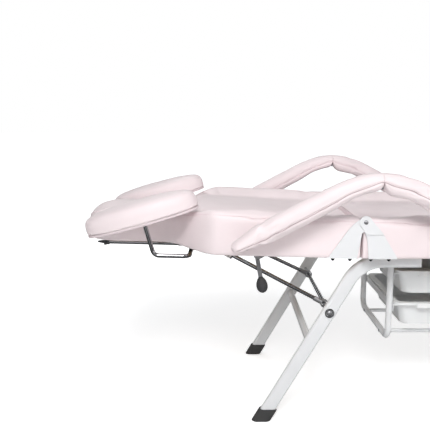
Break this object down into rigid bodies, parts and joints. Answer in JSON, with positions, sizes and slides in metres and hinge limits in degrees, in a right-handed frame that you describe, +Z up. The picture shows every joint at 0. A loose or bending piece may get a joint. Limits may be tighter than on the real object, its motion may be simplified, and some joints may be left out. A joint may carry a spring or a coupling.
{
  "type": "pedicure spa chair",
  "caption": "Adjustable pedicure and facial chair with padded seat and back, folding armrests, sliding foot rests and a tray rack on a bent-tube base.",
  "frame": {"origin": "on the floor under the middle of the whole chair", "axes": "+X towards the head end, +Y towards the sitter's right, +Z up"},
  "size_m": [1.7956, 0.764, 0.7345],
  "materials": {
    "upholstery": "satin",
    "plywood": "matte",
    "chrome_rod": "polished",
    "zinc_steel": "satin",
    "black_rubber": "matte",
    "black_steel": "satin",
    "black_plastic": "matte",
    "tray_plastic": "gloss",
    "white_plastic": "satin",
    "white_coat": "gloss"
  },
  "bodies": {
    "base": {"front_leg_left": "white_coat", "front_leg_right": "white_coat", "rear_leg_left": "white_coat", "rear_leg_right": "white_coat", "leg_end_plugs": "white_plastic", "front_crossmember": "white_coat", "frame_links": "white_coat", "cross_bars": "white_coat", "rear_floor_bar": "white_coat", "rubber_feet": "black_rubber", "strut_shaft": "chrome_rod", "shaft_bolts": "zinc_steel", "tilt_pins": "zinc_steel", "rack_hoops": "white_coat", "rack_runners": "white_coat", "rack_base_rails": "white_coat", "rack_screws": "zinc_steel"},
    "tray_upper": {"upper_tray": "tray_plastic"},
    "tray_lower": {"lower_tray": "tray_plastic"},
    "seat": {"seat_cushion": "upholstery", "seat_board": "plywood", "seat_underframe": "white_coat", "seat_hinge_plates": "white_coat", "seat_plate_screws": "black_steel", "arm_front_pivots": "zinc_steel", "foot_rails": "chrome_rod", "foot_rail_brackets": "black_plastic"},
    "locks": {"strut_clamps": "black_steel"},
    "lock_rod_left": {"strut_rod_left": "chrome_rod", "strut_eye_left": "zinc_steel"},
    "lock_rod_right": {"strut_rod_right": "chrome_rod", "strut_eye_right": "zinc_steel"},
    "seat_lever": {"release_lever": "zinc_steel", "lever_knob": "black_plastic"},
    "foot_rest_left": {"foot_carriage_left": "black_plastic", "foot_rod_left": "chrome_rod", "foot_pad_base_left": "white_plastic", "foot_pad_left": "upholstery"},
    "foot_rest_right": {"foot_carriage_right": "black_plastic", "foot_rod_right": "chrome_rod", "foot_pad_base_right": "white_plastic", "foot_pad_right": "upholstery"},
    "back": {"back_cushion": "upholstery", "back_board": "plywood", "back_underframe": "white_coat", "back_hinge_plates": "white_coat", "back_plate_screws": "black_steel", "hinge_bolts": "zinc_steel", "arm_rear_pivots": "zinc_steel"},
    "back_strut": {"back_strut_housing": "black_steel"},
    "back_rod": {"back_strut_rod": "chrome_rod"},
    "back_lever": {"back_release_lever": "black_steel"},
    "arm_front_left": {"arm_front_bar_left": "zinc_steel", "arm_front_pad_left": "upholstery"},
    "arm_front_right": {"arm_front_bar_right": "zinc_steel", "arm_front_pad_right": "upholstery"},
    "arm_rear_left": {"arm_rear_bar_left": "zinc_steel", "arm_rear_pad_left": "upholstery"},
    "arm_rear_right": {"arm_rear_bar_right": "zinc_steel", "arm_rear_pad_right": "upholstery"}
  },
  "joints": [
    {"name": "seat_tilt", "type": "hinge", "parent": "base", "child": "seat", "pos_m": [-0.0932, 0, 0.4785], "axis": [0, 1, 0], "range_deg": [-15, 0]},
    {"name": "lock_swivel", "type": "hinge", "parent": "seat", "child": "locks", "pos_m": [-0.4662, 0, 0.4719], "axis": [0, 1, 0], "range_deg": [-1.86, 0]},
    {"name": "lock_slide_left", "type": "slide", "parent": "locks", "child": "lock_rod_left", "axis": [-0.8868, 0.1092, 0.4491], "range_m": [0, 0.045]},
    {"name": "lock_slide_right", "type": "slide", "parent": "locks", "child": "lock_rod_right", "axis": [-0.8868, -0.1092, 0.4491], "range_m": [0, 0.045]},
    {"name": "seat_lever_pull", "type": "hinge", "parent": "seat", "child": "seat_lever", "pos_m": [-0.3872, -0.23, 0.489], "axis": [0, 1, 0], "range_deg": [0, 25], "stiffness_Nm_per_rad": 1.2},
    {"name": "foot_slide_left", "type": "slide", "parent": "seat", "child": "foot_rest_left", "axis": [-0.9997, 0, 0.0244], "range_m": [0, 0.2]},
    {"name": "foot_slide_right", "type": "slide", "parent": "seat", "child": "foot_rest_right", "axis": [-0.9997, 0, 0.0244], "range_m": [0, 0.2]},
    {"name": "tray_slide_upper", "type": "slide", "parent": "base", "child": "tray_upper", "axis": [0, -1, 0], "range_m": [0, 0.26]},
    {"name": "tray_slide_lower", "type": "slide", "parent": "base", "child": "tray_lower", "axis": [0, -1, 0], "range_m": [0, 0.26]},
    {"name": "back_recline", "type": "hinge", "parent": "seat", "child": "back", "pos_m": [-0.1012, 0, 0.597], "axis": [0, -1, 0], "range_deg": [0, 70]},
    {"name": "back_strut_swing", "type": "hinge", "parent": "seat", "child": "back_strut", "pos_m": [-0.0162, 0, 0.445], "axis": [0, -1, 0], "range_deg": [0, 66]},
    {"name": "back_strut_slide", "type": "slide", "parent": "back_strut", "child": "back_rod", "axis": [0.9955, 0, 0.0952], "range_m": [0, 0.198]},
    {"name": "back_lever_pull", "type": "hinge", "parent": "back", "child": "back_lever", "pos_m": [0.3538, -0.223, 0.485], "axis": [0, 1, 0], "range_deg": [0, 18], "stiffness_Nm_per_rad": 1.5},
    {"name": "arm_front_left_fold", "type": "hinge", "parent": "seat", "child": "arm_front_left", "pos_m": [-0.4232, -0.355, 0.545], "axis": [0, -1, 0], "range_deg": [0, 47.4]},
    {"name": "arm_rear_left_fold", "type": "hinge", "parent": "arm_front_left", "child": "arm_rear_left", "pos_m": [-0.0772, -0.355, 0.7045], "axis": [0, -1, 0], "range_deg": [-19.8, 0]},
    {"name": "arm_front_right_fold", "type": "hinge", "parent": "seat", "child": "arm_front_right", "pos_m": [-0.4232, 0.355, 0.545], "axis": [0, -1, 0], "range_deg": [0, 47.4]},
    {"name": "arm_rear_right_fold", "type": "hinge", "parent": "arm_front_right", "child": "arm_rear_right", "pos_m": [-0.0772, 0.355, 0.7045], "axis": [0, -1, 0], "range_deg": [-19.8, 0]}
  ],
  "couplings": [
    {"joint": "lock_swivel", "follows": "seat_tilt", "ratio": 0.1237},
    {"joint": "lock_slide_left", "follows": "seat_tilt", "m_per_rad": -0.17145},
    {"joint": "lock_slide_right", "follows": "seat_tilt", "m_per_rad": -0.17145},
    {"joint": "back_strut_swing", "follows": "back_recline", "ratio": 0.9413},
    {"joint": "back_strut_slide", "follows": "back_recline", "m_per_rad": 0.16152},
    {"joint": "arm_front_left_fold", "follows": "back_recline", "ratio": 0.67688},
    {"joint": "arm_rear_left_fold", "follows": "back_recline", "ratio": -0.28188},
    {"joint": "arm_front_right_fold", "follows": "back_recline", "ratio": 0.67688},
    {"joint": "arm_rear_right_fold", "follows": "back_recline", "ratio": -0.28188}
  ]
}
